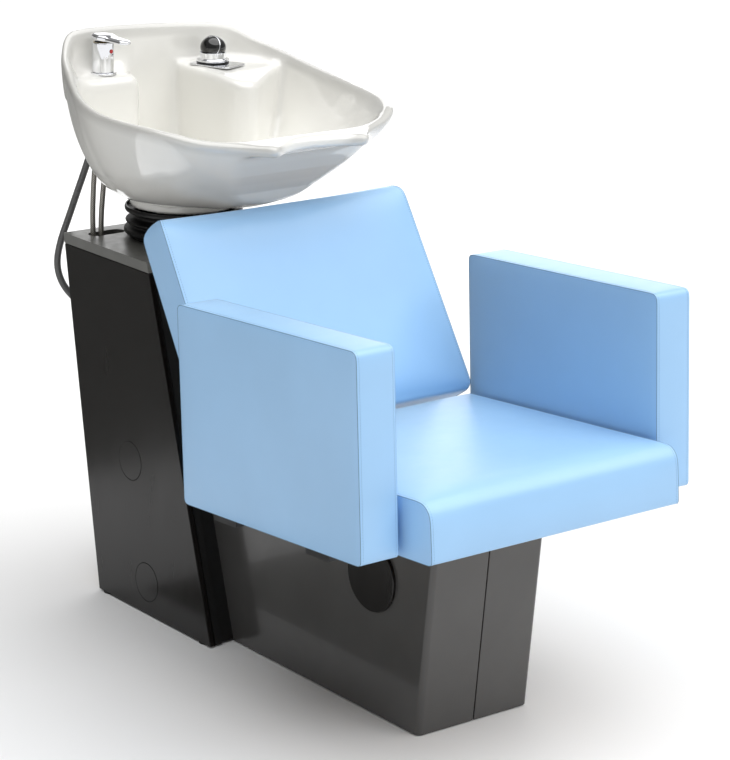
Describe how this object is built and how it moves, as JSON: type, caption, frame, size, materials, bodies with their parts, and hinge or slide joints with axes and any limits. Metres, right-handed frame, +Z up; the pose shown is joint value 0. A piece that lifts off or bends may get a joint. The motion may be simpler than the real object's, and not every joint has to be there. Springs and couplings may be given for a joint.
{
  "type": "salon backwash unit",
  "caption": "Salon backwash unit: upholstered wash chair on a sheet-metal pedestal, with a plumbing tower behind that carries a tilting glazed basin, mixer tap and hand shower.",
  "frame": {"origin": "on the floor, under the middle of the footprint of everything but the hoses", "axes": "+Z up, +Y backwards from the sitter (the sitter faces -Y), +X to the right seen from the front of the chair looking along +Y"},
  "size_m": [0.67, 1.222, 1.0202],
  "materials": {
    "vinyl_blue": "semi-gloss upholstery vinyl",
    "gloss_black": "gloss laminate",
    "gloss_sheet": "gloss enamel on sheet steel",
    "satin_black": "satin",
    "plywood": "raw",
    "black_steel": "satin powder coat",
    "zinc_steel": "zinc plated",
    "glazed_white": "gloss glaze",
    "chrome": "polished",
    "brass": "machined",
    "rubber_black": "matte",
    "braided_steel": "steel braid over rubber",
    "gloss_plastic_black": "gloss",
    "nylon": "matte",
    "grey_plastic": "matte",
    "indicator": "gloss"
  },
  "bodies": {
    "chassis": {"arm_bolts": "zinc_steel", "arm_cores": "plywood", "armrest_pad_left": "vinyl_blue", "armrest_pad_right": "vinyl_blue", "backrest_board": "plywood", "backrest_brackets": "black_steel", "backrest_cushion": "vinyl_blue", "backrest_rear_panel": "satin_black", "bellows": "rubber_black", "floor_anchor_angles": "black_steel", "floor_glides": "nylon", "frame_bolts": "zinc_steel", "nuts_m8": "zinc_steel", "panel_bolts": "zinc_steel", "panel_caps": "gloss_black", "pedestal_caps": "gloss_black", "pedestal_frame": "black_steel", "pedestal_shell_left": "gloss_sheet", "pedestal_shell_right": "gloss_sheet", "pedestal_top_cover": "gloss_sheet", "rear_cover_screws": "zinc_steel", "seat_board": "plywood", "seat_cushion": "vinyl_blue", "seat_frame": "black_steel", "supply_hose_cold": "braided_steel", "supply_hose_hot": "braided_steel", "supply_nuts": "brass", "tilt_base_bolts": "zinc_steel", "tilt_base_plate": "black_steel", "tilt_bushes": "nylon", "tower_battens": "plywood", "tower_carcass": "satin_black", "tower_front_panel": "satin_black", "tower_rear_cover": "satin_black", "tower_side_panel_left": "gloss_black", "tower_side_panel_right": "gloss_black", "tower_top_plate": "satin_black", "upholstery_screws": "zinc_steel"},
    "basin_body": {"basin": "glazed_white", "tilt_top_plate": "black_steel", "tilt_hinge_pins": "zinc_steel", "basin_bolts": "zinc_steel", "waste_body": "chrome", "waste_nut": "grey_plastic", "waste_tailpiece": "grey_plastic", "mixer_base_ring": "chrome", "mixer_body": "chrome", "mixer_cartridge": "nylon", "deck_nuts": "brass", "mixer_indicator": "indicator", "shower_plate": "chrome", "shower_gasket": "rubber_black", "shower_holder": "chrome", "shower_hose": "rubber_black", "supply_ferrules": "brass"},
    "strainer_body": {"hair_strainer": "chrome"},
    "mixer_stem_body": {"mixer_stem": "brass"},
    "mixer_lever_body": {"mixer_lever": "chrome"},
    "hand_shower": {"hand_shower_body": "chrome", "hand_shower_face": "gloss_plastic_black"}
  },
  "joints": [
    {"name": "basin_tilt", "type": "hinge", "parent": "chassis", "child": "basin_body", "pos_m": [0, 0.4435, 0.676], "axis": [1, 0, 0], "range_deg": [-12, 2], "deforming": ["bellows", "supply_hose_hot", "supply_hose_cold"]},
    {"name": "mixer_turn", "type": "hinge", "parent": "basin_body", "child": "mixer_stem_body", "pos_m": [-0.123, 0.5125, 1], "axis": [0, 0, 1], "range_deg": [-45, 45]},
    {"name": "mixer_lift", "type": "hinge", "parent": "mixer_stem_body", "child": "mixer_lever_body", "pos_m": [-0.12714, 0.52795, 0.999], "axis": [-0.9659, -0.2588, 0], "range_deg": [0, 20]},
    {"name": "shower_pull", "type": "slide", "parent": "basin_body", "child": "hand_shower", "axis": [0, 0, 1], "range_m": [0, 0.09]},
    {"name": "strainer_lift", "type": "slide", "parent": "basin_body", "child": "strainer_body", "axis": [0, 0, 1], "range_m": [0, 0.025]}
  ]
}
